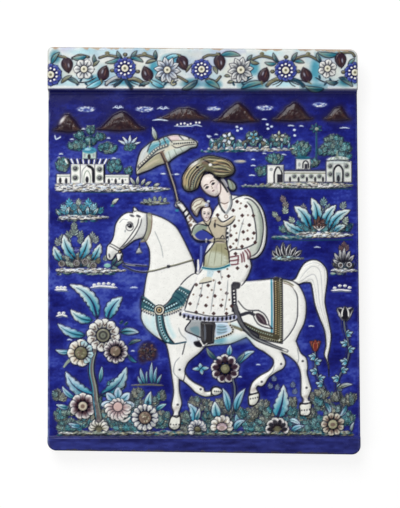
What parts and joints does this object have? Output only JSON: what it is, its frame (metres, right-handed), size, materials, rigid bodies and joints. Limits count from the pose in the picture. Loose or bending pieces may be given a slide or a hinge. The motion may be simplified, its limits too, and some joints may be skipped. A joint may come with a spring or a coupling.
{
  "type": "moulded wall tile",
  "caption": "Rectangular moulded and painted glazed wall tile with a raised frieze and a horseman in relief.",
  "frame": {"origin": "centre of the flat back's bounding box", "axes": "+Z out of the glazed face, +Y to the top of the picture, +X to its right"},
  "size_m": [0.2575, 0.3341, 0.0244],
  "materials": {
    "glazed_ceramic": "glossy underglaze-painted"
  },
  "bodies": {
    "root": {"tile": "glazed_ceramic"}
  },
  "joints": []
}
